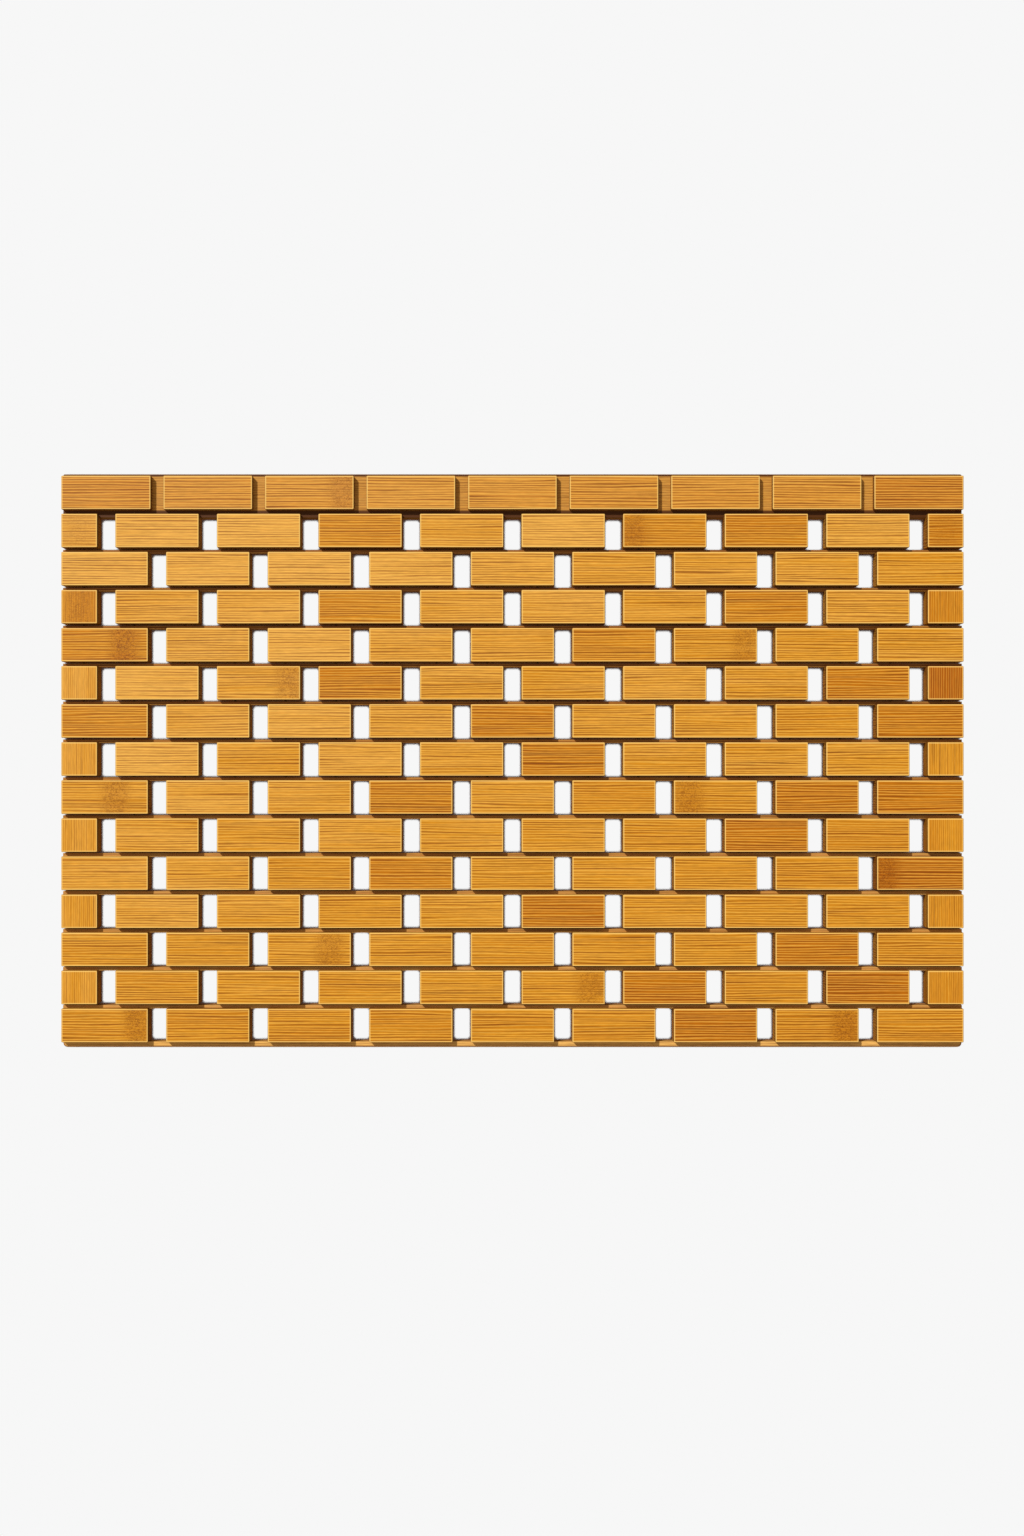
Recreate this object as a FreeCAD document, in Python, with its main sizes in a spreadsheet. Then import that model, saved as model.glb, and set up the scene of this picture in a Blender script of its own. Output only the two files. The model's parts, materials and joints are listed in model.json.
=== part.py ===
import FreeCAD, Part
import os
import Sketcher

# Bamboo bath mat, laid flat: rows of separate blocks in a brick pattern, threaded on cords
# so that the mat can be rolled up row by row.
# Frame: origin at the centre of the underside, +X along the rows, +Y towards the header, +Z up.

os.makedirs("parts", exist_ok=True)

drivingSizes = [
    ("rowCount", 15),            # rows of blocks, row 1 at the header
    ("columnsPerHalf", 4),       # full blocks on each side of the middle in an even row
    ("matLength", 800.0),        # overall, along X
    ("matWidth", 510.0),         # overall, along Y
    ("blockHeight", 12.0),       # underside to walking face
    ("blockGap", 15.8),          # drain gap between two blocks of a row
    ("endBlockLength", 32.1),    # short block that closes an even row
    ("rowGap", 3.75),            # between the faces of two rows of blocks
    ("headBlockGap", 11.0),      # narrower gap of row 1, closed below by the header board
    ("headBlockWidth", 30.0),    # row 1, as wide as the other rows
    ("headerRim", 2.3),          # header board showing beyond row 1
    ("headerTuck", 3.1),         # header board reaching under row 2
    ("railReach", 5.2),          # end rail showing beyond the last row
    ("lathHeight", 7.0),         # laths, header board and end rail
    ("lathTuck", 0.7),           # lath reaching into the rebate of its own row
    ("hingeSlit", 1.3),          # open slit between a row and the next row's lath
    ("blockCorner", 1.4),        # radius of a block's upright corners
    ("headerCorner", 1.4),       # radius of the header board's two outer corners
    ("railCorner", 3.6),         # radius of the end rail's two outer corners
    ("blockEase", 0.8),          # chamfer round a block's top
    ("boardEase", 1.0),          # chamfer along the outer edge of the header and the rail
    ("cordDiameter", 2.0),
    ("cordClearance", 0.1),      # radial, cord to hole
    ("cordEndGap", 0.3),         # cord end to hinge line
    ("cordAnchor", 20.0),        # depth of the blind cord holes in the header board
]

# Sizes that follow from the driving ones, written once and used in the expressions below.
rowPitch = "((dims.matWidth - dims.headerRim - dims.headBlockWidth - dims.railReach) / (dims.rowCount - 1))"
blockWidth = f"({rowPitch} - dims.rowGap)"
columnPitch = "(((dims.matLength - dims.blockGap) / 2 - dims.endBlockLength) / dims.columnsPerHalf)"
evenGapCentre = "(dims.endBlockLength + dims.blockGap / 2)"
oddGapCentre = f"({evenGapCentre} + {columnPitch} / 2)"
lanePitch = f"({columnPitch} / 2)"
firstLane = f"({evenGapCentre} - {columnPitch} / 4)"
cordLevel = "(dims.lathHeight / 2)"
holeDiameter = "(dims.cordDiameter + 2 * dims.cordClearance)"
lathWidth = "(dims.lathTuck + dims.rowGap - dims.hingeSlit)"
headerWidth = "(dims.headerTuck + dims.rowGap + dims.headBlockWidth + dims.headerRim)"
westEdge = "(-dims.matLength / 2)"
southEdge = "(-dims.matWidth / 2)"

tiny = 1e-6                      # tolerance when edges are told apart by their place


def rowSouth(row):
    """The y of a row's south face, for rows 1 to rowCount."""
    return f"({southEdge} + dims.railReach + (dims.rowCount - {row}) * {rowPitch})"


doc = FreeCAD.newDocument("bath_mat")
sheet = doc.addObject("Spreadsheet::Sheet", "dims")
for line, (alias, size) in enumerate(drivingSizes, start=1):
    sheet.set(f"A{line}", alias)
    sheet.set(f"B{line}", str(size))
    sheet.setAlias(f"B{line}", alias)
doc.recompute()

rowCount = int(sheet.rowCount)
columnsPerHalf = int(sheet.columnsPerHalf)
laneCount = 4 * columnsPerHalf + 2    # two cords per full block of an even row, one per short block


def value(expression):
    """The present number of a size expression."""
    return float(sheet.evalExpression(expression.replace("dims.", "")))


def makeBody(label, south, bottom="0"):
    """A body whose own origin is the piece's south-west lower corner."""
    body = doc.addObject("PartDesign::Body", label)
    body.Label = label
    body.AllowCompound = True
    body.setExpression("Placement.Base.x", westEdge)
    body.setExpression("Placement.Base.y", south)
    body.setExpression("Placement.Base.z", bottom)
    return body


def originOf(body, role):
    """One of the body's own origin planes or axes."""
    return next(item for item in body.Origin.OriginFeatures if item.Role == role)


def makeSketch(body, name, role):
    sketch = body.newObject("Sketcher::SketchObject", name)
    sketch.AttachmentSupport = (originOf(body, role), [""])
    sketch.MapMode = "FlatFace"
    return sketch


def holdDistance(sketch, kind, first, second, expression):
    """A DistanceX or DistanceY between two sketch points, bound to an expression."""
    index = sketch.addConstraint(Sketcher.Constraint(kind, *first, *second, value(expression)))
    sketch.setExpression(f"Constraints[{index}]", expression)


def addRectangle(sketch, left, low, length, width):
    """A rectangle placed by its lower left corner, in sketch coordinates."""
    x0, y0 = value(left), value(low)
    x1, y1 = x0 + value(length), y0 + value(width)
    corners = [FreeCAD.Vector(x, y) for x, y in ((x0, y0), (x1, y0), (x1, y1), (x0, y1))]
    base = sketch.GeometryCount
    for side in range(4):
        sketch.addGeometry(Part.LineSegment(corners[side], corners[(side + 1) % 4]))
    for side in range(4):
        joined = ("Coincident", base + side, 2, base + (side + 1) % 4, 1)
        sketch.addConstraint(Sketcher.Constraint(*joined))
        direction = "Vertical" if side % 2 else "Horizontal"
        sketch.addConstraint(Sketcher.Constraint(direction, base + side))
    root, corner = (-1, 1), (base, 1)
    holdDistance(sketch, "DistanceX", root, corner, left)
    holdDistance(sketch, "DistanceY", root, corner, low)
    holdDistance(sketch, "DistanceX", corner, (base, 2), length)
    holdDistance(sketch, "DistanceY", (base + 1, 1), (base + 1, 2), width)


def addCircle(sketch, across, up, diameter):
    centre = FreeCAD.Vector(value(across), value(up))
    index = sketch.addGeometry(Part.Circle(centre, FreeCAD.Vector(0, 0, 1), value(diameter) / 2))
    holdDistance(sketch, "DistanceX", (-1, 1), (index, 3), across)
    holdDistance(sketch, "DistanceY", (-1, 1), (index, 3), up)
    size = sketch.addConstraint(Sketcher.Constraint("Diameter", index, value(diameter)))
    sketch.setExpression(f"Constraints[{size}]", diameter)


def pad(body, sketch, length, reverse=False):
    feature = body.newObject("PartDesign::Pad", f"{sketch.Name}_pad")
    feature.Profile = sketch
    feature.Reversed = reverse
    feature.setExpression("Length", length)
    doc.recompute()
    return feature


def repeat(body, feature, pitch, count):
    """Copies of one feature along X; the body ends in the pattern."""
    pattern = body.newObject("PartDesign::LinearPattern", f"{feature.Name}_row")
    pattern.Originals = [feature]
    pattern.Direction = (originOf(body, "X_Axis"), [""])
    pattern.setExpression("Length", f"{pitch} * {count - 1}")
    pattern.Occurrences = count
    body.Tip = pattern
    doc.recompute()
    return pattern


def dress(body, kind, size, wanted):
    """A Fillet or Chamfer on every edge of the tip that wanted() picks by its end points."""
    base = body.Tip
    edges = []
    for number, edge in enumerate(base.Shape.Edges, start=1):
        points = [vertex.Point for vertex in edge.Vertexes]
        if wanted(points):
            edges.append(f"Edge{number}")
    feature = body.newObject(f"PartDesign::{kind}", f"{body.Name}_{kind.lower()}")
    feature.Base = (base, edges)
    feature.setExpression("Radius" if kind == "Fillet" else "Size", size)
    doc.recompute()
    return feature


def upright(points):
    """True for an edge that runs along Z."""
    return abs(points[0].x - points[-1].x) < tiny and abs(points[0].y - points[-1].y) < tiny


def drillLanes(body, depth=None):
    """The cord holes, one on each lane, cut towards +Y from the body's south face."""
    before = body.Shape.Volume
    sketch = makeSketch(body, f"{body.Name}_hole", "XZ_Plane")
    addCircle(sketch, firstLane, cordLevel, holeDiameter)
    hole = body.newObject("PartDesign::Pocket", f"{body.Name}_hole_cut")
    hole.Profile = sketch
    if depth is None:
        hole.Type = "ThroughAll"
    else:
        hole.setExpression("Length", depth)
    doc.recompute()
    repeat(body, hole, lanePitch, laneCount)
    if body.Shape.Volume >= before - tiny:
        raise RuntimeError(f"{body.Label}: the cord holes cut nothing")


def cutRebate(body, depth):
    """The step along the lower north edge that a lath or the header board fills."""
    before = body.Shape.Volume
    sketch = makeSketch(body, f"{body.Name}_rebate", "YZ_Plane")
    addRectangle(sketch, f"{blockWidth} - {depth}", "0", depth, "dims.lathHeight")
    rebate = body.newObject("PartDesign::Pocket", f"{body.Name}_rebate_cut")
    rebate.Profile = sketch
    rebate.Type = "ThroughAll"
    rebate.Reversed = True
    doc.recompute()
    if body.Shape.Volume >= before - tiny:
        raise RuntimeError(f"{body.Label}: the rebate cuts nothing")


def finishBlocks(body, height):
    """Round the upright corners of every block and ease the edges round its top."""
    dress(body, "Fillet", "dims.blockCorner", upright)
    top = value(height)
    dress(body, "Chamfer", "dims.blockEase", lambda points: all(abs(p.z - top) < tiny for p in points))


def fullBlocks(body, gapCentre, gap, width, height, count):
    """The row's equal blocks, one pad repeated at the column pitch."""
    sketch = makeSketch(body, f"{body.Name}_block", "XY_Plane")
    addRectangle(sketch, f"{gapCentre} + {gap} / 2", "0", f"{columnPitch} - {gap}", width)
    repeat(body, pad(body, sketch, height), columnPitch, count)


def endBlocks(body, gapCentre, gap, width, height):
    """The two blocks that reach the mat's ends."""
    length = f"({gapCentre} - {gap} / 2)"
    sketch = makeSketch(body, f"{body.Name}_end", "XY_Plane")
    addRectangle(sketch, "0", "0", length, width)
    addRectangle(sketch, f"dims.matLength - {length}", "0", length, width)
    pad(body, sketch, height)


def makeHeadRow():
    """Row 1: nine low blocks glued on the header board."""
    height = "(dims.blockHeight - dims.lathHeight)"
    south = f"({southEdge} + dims.matWidth - dims.headerRim - dims.headBlockWidth)"
    body = makeBody("row_01_blocks", south, "dims.lathHeight")
    count = 2 * columnsPerHalf - 1
    fullBlocks(body, oddGapCentre, "dims.headBlockGap", "dims.headBlockWidth", height, count)
    endBlocks(body, oddGapCentre, "dims.headBlockGap", "dims.headBlockWidth", height)
    finishBlocks(body, height)
    return [body]


def makeRow(row):
    """Rows 2 and on: full-height blocks with a rebate and the cord holes."""
    rebate = "dims.headerTuck" if row == 2 else "dims.lathTuck"
    body = makeBody(f"row_{row:02d}_blocks", rowSouth(row))
    pieces = [body]
    if row % 2:
        count = 2 * columnsPerHalf - 1
        fullBlocks(body, oddGapCentre, "dims.blockGap", blockWidth, "dims.blockHeight", count)
        endBlocks(body, oddGapCentre, "dims.blockGap", blockWidth, "dims.blockHeight")
    else:
        count = 2 * columnsPerHalf
        fullBlocks(body, evenGapCentre, "dims.blockGap", blockWidth, "dims.blockHeight", count)
        shortBody = makeBody(f"row_{row:02d}_end_blocks", rowSouth(row))
        endBlocks(shortBody, evenGapCentre, "dims.blockGap", blockWidth, "dims.blockHeight")
        pieces.append(shortBody)
    for piece in pieces:
        finishBlocks(piece, "dims.blockHeight")
        cutRebate(piece, rebate)
        drillLanes(piece)
    return pieces


def makeLath(row):
    """The thin strip along a row's north side, tucked into the row's rebate."""
    body = makeBody(f"row_{row:02d}_lath", f"{rowSouth(row)} + {blockWidth} - dims.lathTuck")
    sketch = makeSketch(body, f"{body.Name}_outline", "XY_Plane")
    addRectangle(sketch, "0", "0", "dims.matLength", lathWidth)
    pad(body, sketch, "dims.lathHeight")
    drillLanes(body)
    return body


def makeHeaderBoard():
    """The board under row 1, tucked into the rebate of row 2, with blind cord holes."""
    body = makeBody("header_board", f"{rowSouth(2)} + {blockWidth} - dims.headerTuck")
    sketch = makeSketch(body, f"{body.Name}_outline", "XY_Plane")
    addRectangle(sketch, "0", "0", "dims.matLength", headerWidth)
    pad(body, sketch, "dims.lathHeight")
    north = value(headerWidth)
    dress(body, "Fillet", "dims.headerCorner", lambda p: upright(p) and abs(p[0].y - north) < tiny)
    top = value("dims.lathHeight")
    dress(body, "Chamfer", "dims.boardEase", lambda points: all(
        abs(p.z - top) < tiny and abs(p.y - north) < tiny for p in points))
    drillLanes(body, "dims.cordAnchor")
    return body


def makeEndRail():
    """The rail glued along the last row's south faces; it covers the cord ends."""
    body = makeBody("end_rail", southEdge)
    sketch = makeSketch(body, f"{body.Name}_outline", "XY_Plane")
    addRectangle(sketch, "0", "0", "dims.matLength", "dims.railReach")
    pad(body, sketch, "dims.lathHeight")
    dress(body, "Fillet", "dims.railCorner", lambda p: upright(p) and abs(p[0].y) < tiny)
    top = value("dims.lathHeight")
    dress(body, "Chamfer", "dims.boardEase", lambda points: all(
        abs(p.z - top) < tiny and abs(p.y) < tiny for p in points))
    return body


def makeCords(row):
    """One straight length of every cord, from hinge line to hinge line of its row."""
    toSouth = "(dims.hingeSlit / 2 - dims.cordEndGap)"
    toNorth = f"({blockWidth} + dims.rowGap - dims.hingeSlit / 2 - dims.cordEndGap)"
    if row == rowCount:
        toSouth = "0"
    if row == 2:
        toNorth = f"({blockWidth} - dims.headerTuck + dims.cordAnchor)"
    body = makeBody(f"row_{row:02d}_cords", f"{rowSouth(row)} - {toSouth}")
    sketch = makeSketch(body, f"{body.Name}_circle", "XZ_Plane")
    addCircle(sketch, firstLane, cordLevel, "dims.cordDiameter")
    repeat(body, pad(body, sketch, f"{toSouth} + {toNorth}", reverse=True), lanePitch, laneCount)
    return body


pieces = makeHeadRow()
pieces.append(makeHeaderBoard())
for row in range(2, rowCount + 1):
    pieces.extend(makeRow(row))
    if row > 2:
        pieces.append(makeLath(row))
    pieces.append(makeCords(row))
pieces.append(makeEndRail())
doc.recompute()

for item in doc.Objects:
    if "Invalid" in item.State or "Error" in item.State:
        raise RuntimeError(f"{item.Label} failed: {item.State}")
for piece in pieces:
    if piece.Shape.isNull() or not piece.Shape.isValid():
        raise RuntimeError(f"{piece.Label} has no valid shape")
for piece in pieces:
    piece.Shape.exportStep(f"parts/{piece.Label}.step")
    print(piece.Label, len(piece.Shape.Solids), "solids,", round(piece.Shape.Volume), "mm3")
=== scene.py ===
import json
import math

import bpy
import numpy as np
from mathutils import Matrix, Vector


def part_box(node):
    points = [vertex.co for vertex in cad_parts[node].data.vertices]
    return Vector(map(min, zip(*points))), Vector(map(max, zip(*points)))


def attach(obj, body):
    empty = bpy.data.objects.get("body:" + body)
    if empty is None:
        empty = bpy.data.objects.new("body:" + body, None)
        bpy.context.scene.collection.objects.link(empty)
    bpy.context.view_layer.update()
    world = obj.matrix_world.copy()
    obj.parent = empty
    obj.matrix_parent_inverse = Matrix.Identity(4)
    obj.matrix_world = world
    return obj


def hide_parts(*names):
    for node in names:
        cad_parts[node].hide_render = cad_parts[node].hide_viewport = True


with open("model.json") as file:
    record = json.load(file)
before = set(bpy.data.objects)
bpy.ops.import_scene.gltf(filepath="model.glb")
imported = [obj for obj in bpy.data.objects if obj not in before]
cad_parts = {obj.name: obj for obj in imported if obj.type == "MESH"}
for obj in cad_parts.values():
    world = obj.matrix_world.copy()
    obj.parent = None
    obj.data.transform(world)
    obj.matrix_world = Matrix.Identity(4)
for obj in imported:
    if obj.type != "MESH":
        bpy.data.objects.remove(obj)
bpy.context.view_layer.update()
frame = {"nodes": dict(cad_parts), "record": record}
scene = bpy.context.scene
mm = 0.001
bodyOf = {node: body
          for body, members in frame["record"]["behaviour"]["bodies"].items()
          for node in members}
print("frame loaded:", len(frame["nodes"]), "nodes")


def linear(red, green, blue):
    # a screen colour from 0 to 255 turned into linear light
    share = [channel / 255 for channel in (red, green, blue)]
    return tuple(((c + 0.055) / 1.055) ** 2.4 if c > 0.04045 else c / 12.92 for c in share)


# Short names for the few kinds of shader node that every finish below is built from.

def plug(tree, socket, value):
    # a socket takes either a link or a plain value
    if isinstance(value, bpy.types.NodeSocket):
        tree.links.new(value, socket)
    else:
        socket.default_value = value


def addNode(tree, kind, inputs=None, **settings):
    # settings are the node's own options, and inputs fill its sockets
    node = tree.nodes.new(kind)
    for name, value in settings.items():
        setattr(node, name, value)
    for socket, value in (inputs or {}).items():
        plug(tree, node.inputs[socket], value)
    return node


def sums(tree, operation, first, second=0.0, clamp=False):
    # one step of arithmetic
    return addNode(tree, "ShaderNodeMath", {0: first, 1: second}, operation=operation,
                   use_clamp=clamp).outputs[0]


def span(tree, value, low, high, toLow=0.0, toHigh=1.0):
    # carries low..high smoothly onto toLow..toHigh
    return addNode(tree, "ShaderNodeMapRange",
                   {"Value": value, "From Min": low, "From Max": high, "To Min": toLow, "To Max": toHigh},
                   interpolation_type="SMOOTHSTEP").outputs[0]


def grain(tree, place, cells, detail=2.0, rough=0.5, warp=0.0, shift=(0, 0, 0)):
    # noise with this many cells per metre in each direction
    spot = addNode(tree, "ShaderNodeMapping", {"Vector": place, "Scale": cells, "Location": shift})
    return addNode(tree, "ShaderNodeTexNoise",
                   {"Vector": spot.outputs[0], "Scale": 1.0, "Detail": detail, "Roughness": rough,
                    "Distortion": warp}).outputs[0]


def blend(tree, share, under, over, mode="MIX"):
    # under carried towards over, or towards their product, by share
    node = addNode(tree, "ShaderNodeMix", data_type="RGBA", blend_type=mode)
    for index, value in ((0, share), (6, under), (7, over)):
        plug(tree, node.inputs[index], (*value, 1.0) if isinstance(value, tuple) else value)
    return node.outputs[2]


def shaded(tree, colour, value):
    # a colour made darker or lighter: each channel times the value
    grey = addNode(tree, "ShaderNodeCombineColor", {0: value, 1: value, 2: value})
    return blend(tree, 1.0, colour, grey.outputs[0], "MULTIPLY")


def ramp(tree, value, stops):
    # straight steps from colour to colour
    node = addNode(tree, "ShaderNodeValToRGB", {0: value})
    while len(node.color_ramp.elements) < len(stops):
        node.color_ramp.elements.new(0.5)
    for element, (at, colour) in zip(node.color_ramp.elements, stops):
        element.position = at
        element.color = (*colour, 1.0)
    return node.outputs[0]


def newFinish(name):
    # a new material, with its tree and the shader in it
    material = bpy.data.materials.new(name)
    material.use_nodes = True
    tree = material.node_tree
    return material, tree, tree.nodes["Principled BSDF"]


def pieceField(tree, name):
    # a field that the pieces carry, three numbers for each point, as separate sockets
    field = addNode(tree, "ShaderNodeAttribute", attribute_name=name)
    return addNode(tree, "ShaderNodeSeparateXYZ", {0: field.outputs["Vector"]}).outputs


bambooTones = dict(light=linear(235, 172, 76), mid=linear(219, 147, 32), dark=linear(200, 120, 8),
                   deep=linear(181, 98, 4))
# Each noise has its cells per metre along the fibres, across them and upwards.
bambooNoise = dict(
    broad=dict(cells=(7, 70, 40)),
    streaks=dict(cells=(12, 520, 160), detail=1.0, warp=0.1),
    longLines=dict(cells=(6, 330, 90), detail=1.0, warp=0.1, shift=(3.1, 1.7, 0.4)),
    sway=dict(cells=(8, 150, 60), detail=1.0, shift=(1.3, 8.1, 5.2)),
    fibres=dict(cells=(110, 1600, 600), rough=0.6),
    specks=dict(cells=(330, 560, 400), detail=3.0, rough=0.7, warp=2.2),
    pores=dict(cells=(900, 900, 700), rough=0.6))
# Levels say where in its noise a feature starts and is full, and shares how strong it is there.
bambooLook = dict(
    toneStops=dict(light=0.0, mid=0.34, dark=0.68, deep=1.0), broadLevels=(0.25, 0.75), toneSwing=0.10,
    swayTurn=13.0, streakLevels=(0.36, 0.62), streakShares=(0.12, 1.0), streakTint=(0.43, 0.30, 0.18),
    paleLevels=(-1.0, -0.1), paleColour=linear(250, 197, 88),
    longLevels=(0.66, 0.72), longShare=0.45, longTint=(0.40, 0.27, 0.15), fibreLevels=(0.2, 0.8),
    knotLevels=(4 * mm, 19 * mm), knotClears=0.8,
    speckLevels=(0.48, 0.56), speckShares=(0.12, 0.85), speckTint=(0.40, 0.27, 0.16),
    poreLevels=(0.35, 0.62), poreShares=(0.05, 0.45), poreColour=linear(120, 66, 22),
    # The side tone is painted shade on the sides; the end tone darkens end grain, partly its own colour
    # and partly painted shade.
    paintedSideShade=0.58, endGrainToneAndShade=0.85, fibreRelief=0.5, bumpStrength=0.35, bumpDepth=0.12 * mm,
    glossLevels=(0.3, 0.7), roughness=(0.41, 0.58), specular=0.22)


def bambooFinish(name, streak, pale, turn=0.0, tones=bambooTones, fibre=0.16, edge=linear(255, 210, 118),
                 edgeShare=0.95, edgeFade=1.0, lineGap=2.3 * mm):
    # Tone picks a colour from a four-step ramp. A sine across the grain, swayed by slow noise, lays dark
    # and pale lines, and long noise makes them come and go. Finer noise gives the fibres. A knot is a
    # band across the block filled with warped specks. Sides are darkened as painted shade, and end grain
    # is darker, partly its own colour and partly painted shade. The top edges fade to the edge colour: a
    # painted highlight where it is pale, as on blocks and laths, and painted shade where it is dark, as
    # on the header board and the end rail.
    look = bambooLook
    material, tree, shader = newFinish(name)
    where = addNode(tree, "ShaderNodeTexCoord").outputs["Object"]
    shift = addNode(tree, "ShaderNodeAttribute", attribute_name="grainShift").outputs["Vector"]
    moved = addNode(tree, "ShaderNodeVectorMath", {0: where, 1: shift}, operation="ADD").outputs[0]
    along = addNode(tree, "ShaderNodeMapping", {"Vector": moved, "Rotation": (0, 0, turn)}).outputs[0]
    across = addNode(tree, "ShaderNodeSeparateXYZ", {0: along}).outputs[1]
    tone, knotAt, knotPower = pieceField(tree, "blockLook")
    paintedEdgeLighting, side, endGrain = pieceField(tree, "faceLook")
    broad, streaks, longLines, sway, fibres = (
        grain(tree, along, **bambooNoise[kind])
        for kind in ("broad", "streaks", "longLines", "sway", "fibres"))
    specks, pores = (grain(tree, moved, **bambooNoise[kind]) for kind in ("specks", "pores"))

    phase = sums(tree, "ADD", sums(tree, "MULTIPLY", across, 2 * math.pi / lineGap),
                 sums(tree, "MULTIPLY", sway, look["swayTurn"]))
    lines = sums(tree, "SINE", phase)
    swing = span(tree, broad, *look["broadLevels"], -look["toneSwing"], look["toneSwing"])
    toneHere = sums(tree, "ADD", tone, swing, clamp=True)
    colour = ramp(tree, toneHere, [(at, tones[step]) for step, at in look["toneStops"].items()])

    spot = addNode(tree, "ShaderNodeSeparateXYZ", {0: where}).outputs[0]
    fromKnot = sums(tree, "ABSOLUTE", sums(tree, "SUBTRACT", spot, knotAt))
    band = sums(tree, "MULTIPLY", span(tree, fromKnot, *look["knotLevels"], 1.0, 0.0), knotPower)
    clear = sums(tree, "SUBTRACT", 1.0, sums(tree, "MULTIPLY", band, look["knotClears"]))
    strength = sums(tree, "MULTIPLY", clear,
                    span(tree, streaks, *look["streakLevels"], *look["streakShares"]))
    darkShare = sums(tree, "MULTIPLY", strength, span(tree, lines, 0.0, 1.0, 0.0, streak))
    paleShare = sums(tree, "MULTIPLY", clear, span(tree, lines, *look["paleLevels"], pale, 0.0))
    longShare = sums(tree, "MULTIPLY", clear,
                     span(tree, longLines, *look["longLevels"], 0.0, look["longShare"]))
    colour = blend(tree, darkShare, colour, look["streakTint"], "MULTIPLY")
    colour = blend(tree, longShare, colour, look["longTint"], "MULTIPLY")
    colour = blend(tree, paleShare, colour, look["paleColour"])
    colour = shaded(tree, colour, span(tree, fibres, *look["fibreLevels"], 1.0 - fibre, 1.0 + fibre))

    speckShare = sums(tree, "MULTIPLY", band,
                      span(tree, specks, *look["speckLevels"], *look["speckShares"]))
    colour = blend(tree, speckShare, colour, look["speckTint"], "MULTIPLY")
    poreShare = sums(tree, "MULTIPLY", endGrain,
                     span(tree, pores, *look["poreLevels"], *look["poreShares"]))
    colour = blend(tree, poreShare, colour, look["poreColour"])
    # Painted shade: sides darkened by the side tone, end grain by the end tone, partly its own colour.
    sideShade = sums(tree, "SUBTRACT", 1.0, sums(tree, "MULTIPLY", side, 1.0 - look["paintedSideShade"]))
    endShade = sums(tree, "SUBTRACT", 1.0, sums(tree, "MULTIPLY", endGrain, 1.0 - look["endGrainToneAndShade"]))
    colour = shaded(tree, colour, sums(tree, "MULTIPLY", sideShade, endShade))
    # Painted edge colour: a highlight where the edge colour is pale and shade where it is dark.
    colour = blend(tree, span(tree, paintedEdgeLighting, 0.0, edgeFade, 0.0, edgeShare), colour, edge)
    plug(tree, shader.inputs["Base Color"], colour)

    hollows = sums(tree, "ADD", darkShare, sums(tree, "ADD", longShare, speckShare))
    height = sums(tree, "SUBTRACT", sums(tree, "MULTIPLY", fibres, look["fibreRelief"]), hollows)
    bump = addNode(tree, "ShaderNodeBump", {"Height": height, "Strength": look["bumpStrength"],
                                            "Distance": look["bumpDepth"]})
    plug(tree, shader.inputs["Normal"], bump.outputs[0])
    plug(tree, shader.inputs["Roughness"], span(tree, streaks, *look["glossLevels"], *look["roughness"]))
    plug(tree, shader.inputs["Specular IOR Level"], look["specular"])
    return material


braidLook = dict(colour=(0.030, 0.022, 0.016), strandGain=3.0, fuzzGain=1.8, lean=0.9, waves=260.0,
                 fuzzCells=(900, 900, 900), fuzzLevels=(0.4, 0.7), fuzzShare=0.5, fuzzRelief=0.4,
                 bumpStrength=0.6, bumpDepth=0.2 * mm, roughness=0.85, sheen=0.15)


def braidFinish(name):
    # Two waves that climb the cord in opposite turns make the crossings of a braid.
    look = braidLook
    material, tree, shader = newFinish(name)
    where = addNode(tree, "ShaderNodeTexCoord").outputs["Object"]
    fuzz = grain(tree, where, look["fuzzCells"], detail=3.0, rough=0.6)
    strands = []
    for lean in (look["lean"], -look["lean"]):
        leaning = addNode(tree, "ShaderNodeMapping", {"Vector": where, "Rotation": (lean, lean, 0.0)})
        wave = addNode(tree, "ShaderNodeTexWave", {"Vector": leaning.outputs[0], "Scale": look["waves"],
                                                   "Distortion": 0.6, "Detail": 1.0},
                       bands_direction="Y")
        strands.append(wave.outputs["Fac"])
    braid = sums(tree, "MAXIMUM", *strands)
    shade = blend(tree, braid, look["colour"], tuple(look["strandGain"] * c for c in look["colour"]))
    fuzzShare = span(tree, fuzz, *look["fuzzLevels"], 0.0, look["fuzzShare"])
    shade = blend(tree, fuzzShare, shade, tuple(look["fuzzGain"] * c for c in look["colour"]))
    plug(tree, shader.inputs["Base Color"], shade)
    height = sums(tree, "ADD", braid, sums(tree, "MULTIPLY", fuzz, look["fuzzRelief"]))
    bump = addNode(tree, "ShaderNodeBump", {"Height": height, "Strength": look["bumpStrength"],
                                            "Distance": look["bumpDepth"]})
    plug(tree, shader.inputs["Normal"], bump.outputs[0])
    plug(tree, shader.inputs["Roughness"], look["roughness"])
    plug(tree, shader.inputs["Sheen Weight"], look["sheen"])
    return material


alongFinish = bambooFinish("honeyBambooAlong", streak=0.90, pale=0.46)
crossFinish = bambooFinish("honeyBambooAcross", turn=math.pi / 2, streak=0.42, pale=0.28,
                           lineGap=1.8 * mm)
firstRowFinish = bambooFinish(
    "honeyBambooFirstRow", streak=0.95, pale=0.42,
    tones=dict(light=linear(222, 154, 62), mid=linear(211, 138, 44), dark=linear(197, 120, 30),
               deep=linear(183, 103, 20)))
# Painted shade: the lath colours run darker than the blocks', standing in for the shade that falls on the
# laths between rows.
lathFinish = bambooFinish(
    "bambooLath", streak=0.55, pale=0.15, edgeShare=0.10,
    tones=dict(light=linear(214, 158, 86), mid=linear(184, 124, 54), dark=linear(150, 88, 28),
               deep=linear(120, 62, 14)))
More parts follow.
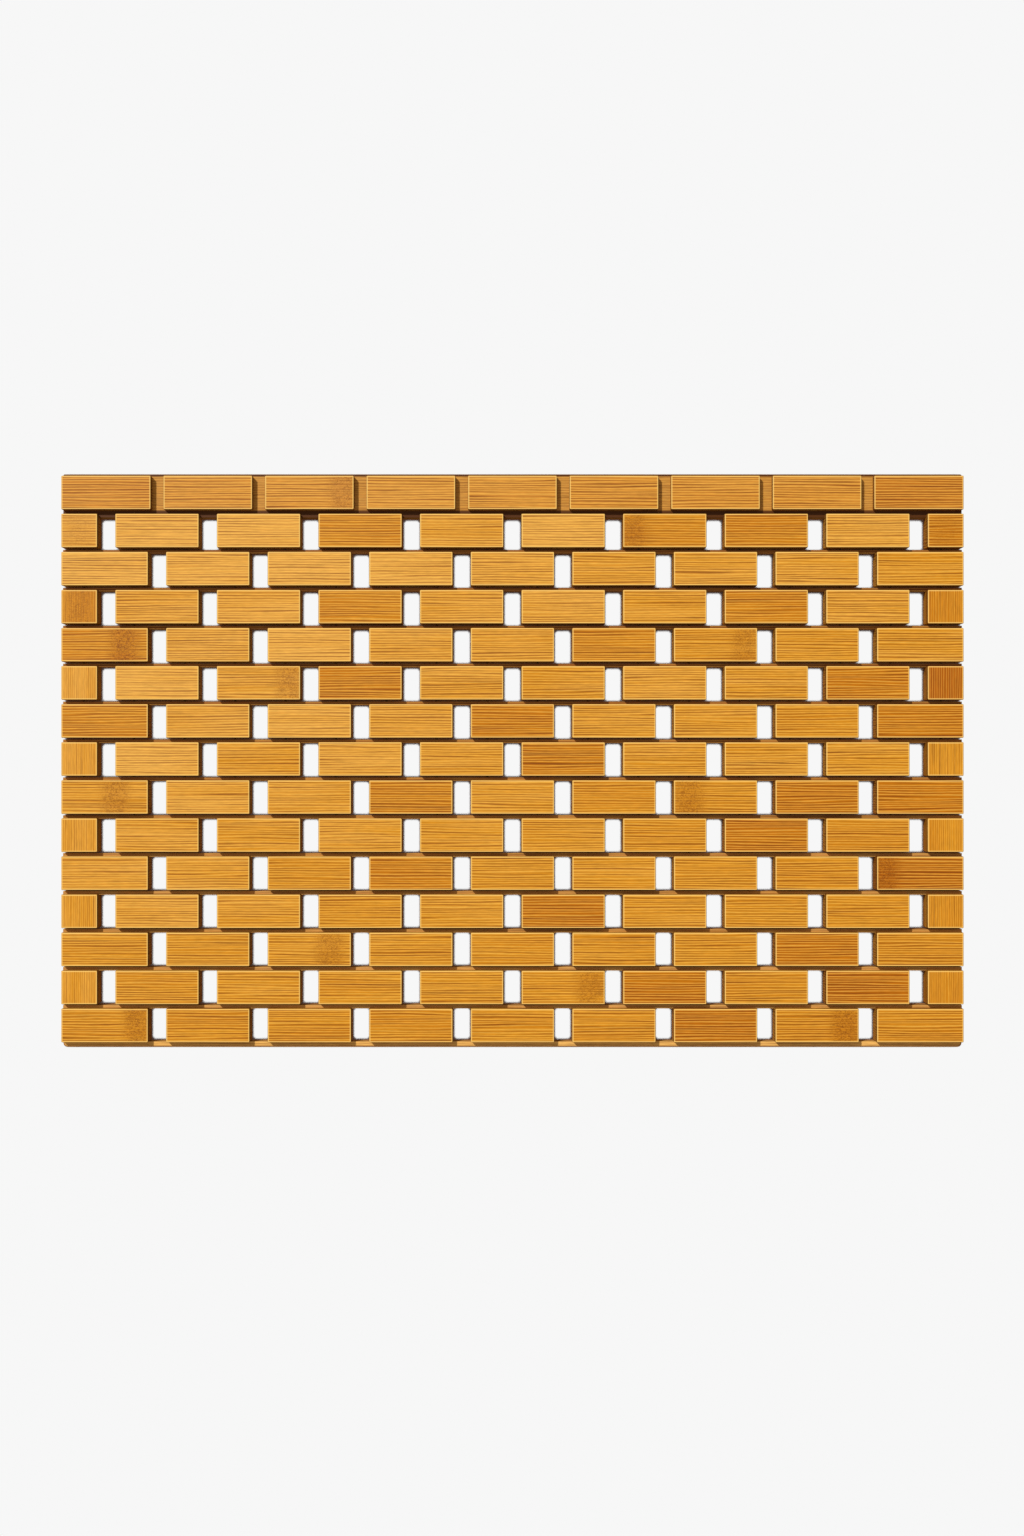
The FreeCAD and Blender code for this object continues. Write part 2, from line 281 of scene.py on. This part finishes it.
# Painted shade: the header board's edge colour is dark brown, and its wide edge reach lays it over the
# ledge seen in row 2's gaps and along the north rim, standing in for the shade there.
headerFinish = bambooFinish(
    "bambooBoard", streak=0.50, pale=0.20, fibre=0.22, edge=linear(80, 40, 8), edgeShare=0.97,
    edgeFade=0.35,
    tones=dict(light=linear(212, 155, 76), mid=linear(204, 142, 58), dark=linear(186, 122, 42),
               deep=linear(162, 98, 28)))
# Painted light and shade: the rail's tones are made paler to stand in for light on its open middle, and
# its dark edge colour is painted shade along its edges.
railFinish = bambooFinish(
    "bambooRail", streak=0.50, pale=0.20, fibre=0.22, edge=linear(130, 72, 20), edgeShare=0.7,
    tones=dict(light=linear(246, 198, 122), mid=linear(240, 186, 104), dark=linear(226, 166, 84),
               deep=linear(204, 140, 60)))
cordFinish = braidFinish("braidedCord")
print("finishes made:", len(bpy.data.materials))


# Meshes: every wooden piece is a stack of rounded rectangles. Their corners are counted anticlockwise
# from the north-east one, and the signs say which lie east or west, and north or south.
signX = np.array([1, -1, -1, 1])[:, None]
signY = np.array([1, 1, -1, -1])[:, None]
# How much painted shade falls on the upright face of a side, and on the foot and middle of the ease,
# where it lays a painted dark line under the top edge.
levelShade = dict(face=0.85, foot=1.45, middle=1.1)
leastRadius = 0.15 * mm


def cornerAngles(arcSteps):
    # a quarter turn for each of the four corners
    return np.linspace(0, math.pi / 2, arcSteps + 1)[None, :] + np.arange(4)[:, None] * math.pi / 2


def stackedShells(spans, low, high, angle, radii, ease, lowEase, notch=None, squareNorth=False,
                  edgeReach=1.1 * mm, northReach=None):
    # spans holds each shell's west and east x. A point of a ring stands at its box corner, moved in by
    # inset plus radius, then out by radius times the cosine and sine of its angle. Rings go from the
    # underside up the side, over the eased top edge (a quarter circle of radius ease) and edgeReach
    # further in, or northReach on the north side. A notch cuts the lower rings back from the north face.
    turn = np.linspace(0, math.pi / 2, 3)
    rings = [(lowEase, low.z, True), (0.0, low.z + lowEase, True)]
    if notch:
        rings += [(0.0, low.z + notch[1], True), (0.0, low.z + notch[1], False)]
    rings += [(ease * (1 - math.cos(t)), high.z - ease + ease * math.sin(t), False) for t in turn]
    rings += [(ease + edgeReach, high.z, False)]
    west, east = np.asarray(spans, float).T
    cornerX = np.where(signX > 0, east[:, None, None], west[:, None, None])
    cornerY = np.where(signY > 0, high.y, low.y)
    points = []
    for inset, height, isLow in rings:
        radius = np.maximum(np.asarray(radii)[:, None] - inset, leastRadius)
        x = cornerX + (radius * np.cos(angle) - signX * (inset + radius))
        y = cornerY + (radius * np.sin(angle) - signY * (inset + radius))
        if squareNorth:
            y = np.where(signY > 0, cornerY, y)
        if northReach and inset > ease:
            y = np.where(signY > 0, y + edgeReach - northReach, y)
        if notch and isLow:
            y = np.minimum(y, high.y - notch[0])
        ring = np.stack(np.broadcast_arrays(x, y, height), -1)
        points.append(ring.reshape(len(west), -1, 3))
    verts = np.stack(points, 1)
    topEdge, easeMiddle, easeFoot = -2, -3, -4
    # Painted light and shade on the points: the top edge ring takes the painted edge colour, side holds
    # the painted shade of the sides, deepest at the foot of the ease, and ends is the end-grain share of
    # it.
    paintedEdgeLighting = np.zeros(verts.shape[:3])
    paintedEdgeLighting[:, topEdge] = 1.0
    side = np.zeros(verts.shape[:3])
    side[:, :easeFoot] = levelShade["face"]
    side[:, easeFoot] = levelShade["foot"]
    side[:, easeMiddle] = levelShade["middle"]
    ends = np.abs(np.cos(angle)).reshape(-1)[None, None] ** 2 * side
    return verts, np.stack([paintedEdgeLighting, side, ends], -1)


def shellFaces(verts):
    # quads between neighbouring rings, and one flat face to close each end of every shell
    shells, rings, around = verts.shape[:3]
    first = np.arange(shells)[:, None] * rings * around
    step = np.arange(around)[None]
    here = (first[:, None] + np.arange(rings - 1)[None, :, None] * around) + step
    after = here - step + (step + 1) % around
    quads = np.stack([here, after, after + around, here + around], -1).reshape(-1, 4)
    under = first + step[:, ::-1]
    over = first + (rings - 1) * around + step
    return quads.tolist() + under.tolist() + over.tolist()


def smoothFaces(verts, arcSteps):
    # true on the rounded corners and the eased top edge, and false on the flat faces
    shells, rings, around = verts.shape[:3]
    isSmooth = np.zeros((rings - 1, around), bool)
    isSmooth[-3:-1] = True
    isSmooth[:, np.arange(around) % (arcSteps + 1) != arcSteps] = True
    isSmooth[-1] = False
    return np.concatenate([np.tile(isSmooth.reshape(-1), shells), np.zeros(2 * shells, bool)])


def makePiece(name, node, material, verts, smooth, fields):
    # smooth is one flag for all faces or one for each. fields are the numbers that the piece carries on
    # its points for its finish.
    faces = shellFaces(verts)
    mesh = bpy.data.meshes.new(name)
    mesh.from_pydata(verts.reshape(-1, 3), [], faces)
    mesh.polygons.foreach_set("use_smooth", np.resize(smooth, len(faces)))
    for label, values in fields.items():
        field = mesh.attributes.new(label, "FLOAT_VECTOR", "POINT")
        field.data.foreach_set("vector", values.astype(np.float32).ravel())
    mesh.materials.append(material)
    mesh.update()
    piece = bpy.data.objects.new(name, mesh)
    scene.collection.objects.link(piece)
    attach(piece, bodyOf[node])
    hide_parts(node)
    return piece


grainSpread = 4.0


def makeWood(name, node, slot, material, spans, looks, seed, arcSteps=2, **shape):
    # looks holds the tone, knot place and knot strength of each shell. Each shell's grain is moved by its
    # own random shift, so that no two look alike.
    low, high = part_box(node)
    verts, faceLook = stackedShells(spans, low, high, cornerAngles(arcSteps), **shape)
    rng = np.random.default_rng(seed)
    shift = rng.uniform(-grainSpread, grainSpread, (len(spans), 1, 1, 3)) + np.zeros(verts.shape)
    blockLook = np.asarray(looks, float)[:, None, None, :] + np.zeros(verts.shape)
    return makePiece(name, node, material, verts, smoothFaces(verts, arcSteps),
                     dict(grainShift=shift, blockLook=blockLook, faceLook=faceLook))


rowCount = 15
reach = 0.4
seedFrom = dict(blocks=100, shortBlocks=200, laths=300, header=401, rail=402)
toneRng = np.random.default_rng(11)

blockLayout = dict(pitch=0.090, full=0.0742, firstRowFull=0.079, shortBlock=0.0321, longEnd=0.0771,
                   firstRowEnd=0.0795, lathTuck=0.7 * mm, headerTuck=3.1 * mm, notchHeight=7.0 * mm)
blockShape = dict(radii=[0.9 * mm] * 4, ease=0.6 * mm, lowEase=0.3 * mm)
blockTone = dict(base=0.10, southward=0.26, eastward=0.16, scatter=0.06, dark=0.30, light=-0.14,
                 deepest=0.65)
# Blocks are counted from the west in each row, the first row being the northern one.
darkBlocks = {(1, 1), (1, 9), (2, 4), (2, 7), (2, 8), (2, 10), (4, 1), (4, 4), (4, 8), (4, 10), (5, 1),
              (5, 6), (6, 4), (6, 9), (7, 1), (7, 5), (7, 9), (8, 6), (9, 4), (9, 8), (9, 9), (10, 8),
              (11, 4), (11, 9), (12, 6), (13, 8), (14, 7), (14, 9), (15, 7)}
lightBlocks = {(2, 2), (2, 3), (2, 6), (2, 9), (3, 1), (3, 2), (3, 3), (3, 4), (5, 3), (6, 2), (7, 3),
               (8, 2), (8, 4), (9, 2), (11, 1), (11, 2), (12, 2)}
deepestBlock = (6, 10)
# Where a block holds a knot: the x of its middle and how strong it is.
knots = {(1, 3): (-0.150, 0.7), (2, 1): (-0.384, 0.35), (2, 7): (0.106, 0.7), (2, 10): (0.384, 0.3),
         (4, 1): (-0.384, 0.6), (5, 1): (-0.344, 1.0), (5, 7): (0.207, 0.7), (6, 3): (-0.197, 0.8),
         (9, 1): (-0.352, 0.8), (9, 7): (0.157, 0.8), (11, 9): (0.330, 0.8), (13, 3): (-0.162, 0.8),
         (14, 6): (0.069, 0.7), (15, 1): (-0.332, 0.9), (15, 8): (0.295, 0.9)}
noKnot = (9.0, 0.0)


def blockLooks(row, positions, spans):
    # tone grows to the south and to the east, with a small random part and the chosen blocks' own change
    looks = []
    for position, (west, east) in zip(positions, spans):
        spot = (row, position)
        eastShare = ((west + east) / 2 + reach) / (2 * reach)
        tone = blockTone["base"] + blockTone["southward"] * (row - 1) / (rowCount - 1)
        tone += blockTone["eastward"] * eastShare
        tone += toneRng.uniform(-blockTone["scatter"], blockTone["scatter"])
        tone += blockTone["dark"] * (spot in darkBlocks) + blockTone["light"] * (spot in lightBlocks)
        tone += blockTone["deepest"] * (spot == deepestBlock)
        looks.append((min(max(tone, 0.0), 1.0), *knots.get(spot, noKnot)))
    return looks


def spansFrom(middles, length):
    # a block of this length around each middle
    return [(middle - length / 2, middle + length / 2) for middle in middles]


def endSpans(length):
    # one block against each end of the mat
    return [(-reach, length - reach), (reach - length, reach)]


def layRow(row):
    # Odd rows hold nine blocks with one in the middle, and even rows hold eight and a short block at each
    # end. The notch takes the row's lath, or the header board in row 2.
    pitch = blockLayout["pitch"]
    notch = None
    if row > 1:
        tuck = blockLayout["headerTuck"] if row == 2 else blockLayout["lathTuck"]
        notch = (tuck, blockLayout["notchHeight"])
    if row % 2:
        westEnd, eastEnd = endSpans(blockLayout["firstRowEnd"] if row == 1 else blockLayout["longEnd"])
        length = blockLayout["firstRowFull"] if row == 1 else blockLayout["full"]
        spans = [westEnd, *spansFrom([pitch * k for k in range(-3, 4)], length), eastEnd]
        positions = range(1, 10)
    else:
        spans = spansFrom([pitch * (k + 0.5) for k in range(-4, 4)], blockLayout["full"])
        positions = range(2, 10)
    makeWood(f"bambooRow{row:02d}", f"row_{row:02d}_blocks", "bamboo_block",
             firstRowFinish if row == 1 else alongFinish, spans, blockLooks(row, positions, spans),
             seedFrom["blocks"] + row, notch=notch, **blockShape)
    if row % 2 == 0:
        spans = endSpans(blockLayout["shortBlock"])
        makeWood(f"shortBlocks{row:02d}", f"row_{row:02d}_end_blocks", "bamboo_end_block",
                 alongFinish if row == 2 else crossFinish, spans, blockLooks(row, (1, 10), spans),
                 seedFrom["shortBlocks"] + row, notch=notch, **blockShape)


for row in range(1, rowCount + 1):
    layRow(row)
print("blocks laid:", rowCount, "rows")

lathShape = dict(radii=[0.2 * mm] * 4, ease=0.15 * mm, lowEase=0.1 * mm)
lathScatter = 0.05
# Painted shade: laths are darker in the northern rows and grow lighter to the south.
for row in range(3, rowCount + 1):
    tone = 1.0 - row / rowCount + toneRng.uniform(-lathScatter, lathScatter)
    makeWood(f"lath{row:02d}", f"row_{row:02d}_lath", "bamboo_lath", lathFinish, [(-reach, reach)],
             [(tone, *noKnot)], seedFrom["laths"] + row, **lathShape)

# Both boards have two rounded outer corners, and two nearly square ones against the blocks.
headerShape = dict(radii=[1.4 * mm, 1.4 * mm, 0.4 * mm, 0.4 * mm], ease=0.8 * mm, lowEase=0.3 * mm,
                   edgeReach=7.5 * mm, northReach=1.6 * mm, arcSteps=3)
headerTone = 0.30
makeWood("headerBoard", "header_board", "bamboo_board", headerFinish, [(-reach, reach)],
         [(headerTone, *noKnot)], seedFrom["header"], **headerShape)
railShape = dict(radii=[0.4 * mm, 0.4 * mm, 3.6 * mm, 3.6 * mm], ease=1.0 * mm, lowEase=0.3 * mm,
                 squareNorth=True, arcSteps=3)
railTone = 0.45
makeWood("endRail", "end_rail", "bamboo_board", railFinish, [(-reach, reach)],
         [(railTone, *noKnot)], seedFrom["rail"], **railShape)
print("laths, header board and end rail laid")


cordLayout = dict(radius=1.0 * mm, level=3.5 * mm, lanes=18, lanePitch=0.045, gapToHinge=0.3 * mm,
                  sides=8, domeAngles=(15, 50, 90))


def makeCords(row):
    # Each cord is a circle carried north. Its ends close in half spheres centred on the hinge lines, so
    # that two stretches still meet when the mat bends there.
    node = f"row_{row:02d}_cords"
    low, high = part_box(node)
    radius = cordLayout["radius"]
    lanes = (np.arange(cordLayout["lanes"]) - (cordLayout["lanes"] - 1) / 2) * cordLayout["lanePitch"]
    south = low.y - (cordLayout["gapToHinge"] if row < rowCount else -radius)
    north = high.y + (cordLayout["gapToHinge"] if row > 2 else -radius)
    dome = np.radians(cordLayout["domeAngles"])
    width = radius * np.concatenate([np.sin(dome), np.sin(dome)[::-1]])
    place = np.concatenate([south - radius * np.cos(dome), north + radius * np.cos(dome)[::-1]])
    turn = np.arange(cordLayout["sides"]) * 2 * math.pi / cordLayout["sides"]
    x = lanes[:, None, None] + width[None, :, None] * np.sin(turn)[None, None]
    y = np.zeros_like(x) + place[None, :, None]
    z = cordLayout["level"] + np.zeros_like(x) + width[None, :, None] * np.cos(turn)[None, None]
    verts = np.stack([x, y, z], -1)
    makePiece(f"cords{row:02d}", node, cordFinish, verts, True, {})


for row in range(2, rowCount + 1):
    makeCords(row)
print("cords threaded")


# The stage: a pale floor, a warm underlay just below it, key light, sky and camera.

stageSize = 9.0


def stagePlane(name, depth):
    # a level square, this far below the ground
    half = stageSize / 2
    mesh = bpy.data.meshes.new(name)
    corners = [(-half, -half, -depth), (half, -half, -depth), (half, half, -depth), (-half, half, -depth)]
    mesh.from_pydata(corners, [], [(0, 1, 2, 3)])
    plane = bpy.data.objects.new(name, mesh)
    scene.collection.objects.link(plane)
    return plane


def glowingMatt(tree, shader, colour, glow):
    # a matt surface that also gives off its own colour
    plug(tree, shader.inputs["Base Color"], (*colour, 1.0))
    plug(tree, shader.inputs["Emission Color"], (*colour, 1.0))
    plug(tree, shader.inputs["Emission Strength"], glow)
    plug(tree, shader.inputs["Specular IOR Level"], 0.0)


def clearWhere(tree, shader, share):
    # the surface is the shader where share is 0 and clear where it is 1
    glass = addNode(tree, "ShaderNodeBsdfTransparent")
    mixed = addNode(tree, "ShaderNodeMixShader", {0: share, 1: shader.outputs[0], 2: glass.outputs[0]})
    plug(tree, tree.nodes["Material Output"].inputs["Surface"], mixed.outputs[0])


# The floor lets the pale room show through, so nothing hides rows that bend below it. It goes dark only
# where almost no sky reaches it, as in the slits between rows. Right beside a block, on the side away
# from the key light, a narrow contact shadow darkens it too. Seen from below it is all clear.
floorLook = dict(depth=0.3 * mm, reach=12 * mm, gapLevels=(0.10, 0.20), contactFrom=(-0.82, 0.46, 0.34),
                 contactReach=3.4 * mm, contactLevels=(0.60, 0.82), leastClear=0.03, samples=12,
                 darkTone=(0.030, 0.009, 0.002))
floor = stagePlane("floor", floorLook["depth"])
floorFinish, tree, shader = newFinish("paleFloor")
opening = addNode(tree, "ShaderNodeAmbientOcclusion", {"Distance": floorLook["reach"]},
                  samples=floorLook["samples"])
lit = span(tree, opening.outputs["AO"], *floorLook["gapLevels"], floorLook["leastClear"], 1.0)
beside = addNode(tree, "ShaderNodeAmbientOcclusion",
                 {"Distance": floorLook["contactReach"], "Normal": floorLook["contactFrom"]},
                 samples=floorLook["samples"])
contact = span(tree, beside.outputs["AO"], *floorLook["contactLevels"], floorLook["leastClear"], 1.0)
fromBelow = addNode(tree, "ShaderNodeNewGeometry").outputs["Backfacing"]
glowingMatt(tree, shader, floorLook["darkTone"], 1.0)
plug(tree, shader.inputs["Roughness"], 1.0)
clearWhere(tree, shader, sums(tree, "MAXIMUM", sums(tree, "MULTIPLY", lit, contact), fromBelow))
floor.data.materials.append(floorFinish)
floor.visible_diffuse = False
floor.visible_glossy = False
floor.visible_shadow = False

# The underlay sends warm brown light up between the blocks. The camera doesn't see it, and from below it
# is clear, so the key light still reaches rows that bend under it.
underlayLook = dict(depth=0.8 * mm, colour=(0.50, 0.25, 0.08), glow=0.22)
underlay = stagePlane("floorUnderlay", underlayLook["depth"])
underFinish, tree, shader = newFinish("darkUnderlay")
glowingMatt(tree, shader, underlayLook["colour"], underlayLook["glow"])
clearWhere(tree, shader, addNode(tree, "ShaderNodeNewGeometry").outputs["Backfacing"])
underlay.data.materials.append(underFinish)
underlay.visible_camera = False

# The key light comes from high in the north-west. The sky is what the pale room adds from all round, and
# the backdrop is what the camera sees of the room.
lightLook = dict(towardsKey=(-0.80, 0.88, 1.0), keyPower=3.25, keyAngle=5.0, keyTint=(1.0, 0.985, 0.96),
                 sky=0.35, skyTint=(1.0, 0.90, 0.76), backdrop=0.93)
key = bpy.data.objects.new("keyLight", bpy.data.lights.new("keyLight", "SUN"))
key.data.energy = lightLook["keyPower"]
key.data.angle = math.radians(lightLook["keyAngle"])
key.data.color = lightLook["keyTint"]
key.rotation_mode = "QUATERNION"
key.rotation_quaternion = (-Vector(lightLook["towardsKey"])).to_track_quat("-Z", "Y")
scene.collection.objects.link(key)

world = bpy.data.worlds.new("paleRoom")
scene.world = world
world.use_nodes = True
tree = world.node_tree
roomLight = tree.nodes["Background"]
plug(tree, roomLight.inputs["Color"], (*lightLook["skyTint"], 1.0))
plug(tree, roomLight.inputs["Strength"], lightLook["sky"])
backdrop = addNode(tree, "ShaderNodeBackground",
                   {"Color": (1, 1, 1, 1), "Strength": lightLook["backdrop"]})
seen = addNode(tree, "ShaderNodeLightPath").outputs["Is Camera Ray"]
mixed = addNode(tree, "ShaderNodeMixShader", {0: seen, 1: roomLight.outputs[0], 2: backdrop.outputs[0]})
plug(tree, tree.nodes["World Output"].inputs["Surface"], mixed.outputs[0])

# The camera hangs above the mat, a few millimetres south of its middle, and looks straight down.
cameraLook = dict(east=-0.0004, north=-0.0065, height=1.15, lens=30.10, sensor=36.0, nearest=0.01)
camera = bpy.data.objects.new("camera", bpy.data.cameras.new("camera"))
camera.location = (cameraLook["east"], cameraLook["north"], cameraLook["height"])
camera.data.lens = cameraLook["lens"]
camera.data.sensor_width = cameraLook["sensor"]
camera.data.clip_start = cameraLook["nearest"]
camera.data.dof.use_dof = False
scene.collection.objects.link(camera)
scene.camera = camera
scene.view_settings.view_transform = "Standard"
print("stage set")
